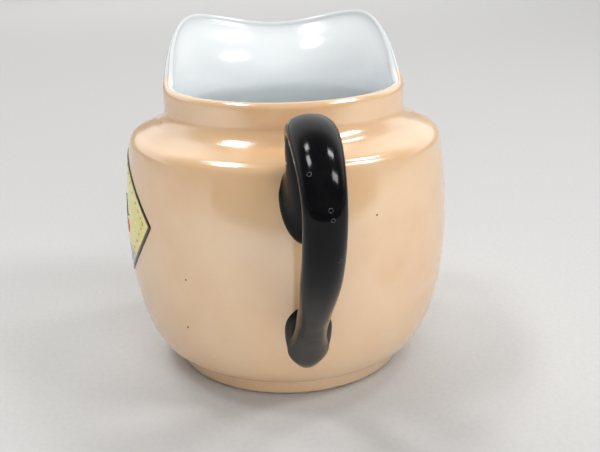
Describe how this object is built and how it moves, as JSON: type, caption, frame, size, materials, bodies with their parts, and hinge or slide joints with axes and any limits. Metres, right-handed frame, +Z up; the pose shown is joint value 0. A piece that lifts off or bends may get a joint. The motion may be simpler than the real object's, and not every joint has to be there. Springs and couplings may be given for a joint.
{
  "type": "cream jug",
  "caption": "Round porcelain cream jug with a foot ring, sloping shoulder, low collar pulled up into a wide pouring lip, and a black ear handle.",
  "frame": {"origin": "on the surface that the foot rests on, under the middle of the whole length from the handle's back to the belly's front", "axes": "+Z up out of the mouth, +Y along the length towards the pouring lip, the handle points along -Y"},
  "size_m": [0.0898, 0.121, 0.094],
  "materials": {
    "bare_porcelain": "bare fired clay, matte",
    "white_glaze": "cool white, glossy",
    "peach_lustre": "peach lustre, glossy with a pearly sheen",
    "black_glaze": "black, high gloss"
  },
  "bodies": {
    "root": {"pot_body": "bare_porcelain", "inside_glaze": "white_glaze", "outside_lustre_glaze": "peach_lustre", "underside_glaze": "white_glaze", "upper_handle_joint": "black_glaze", "lower_handle_joint": "black_glaze", "handle": "black_glaze"}
  },
  "joints": []
}
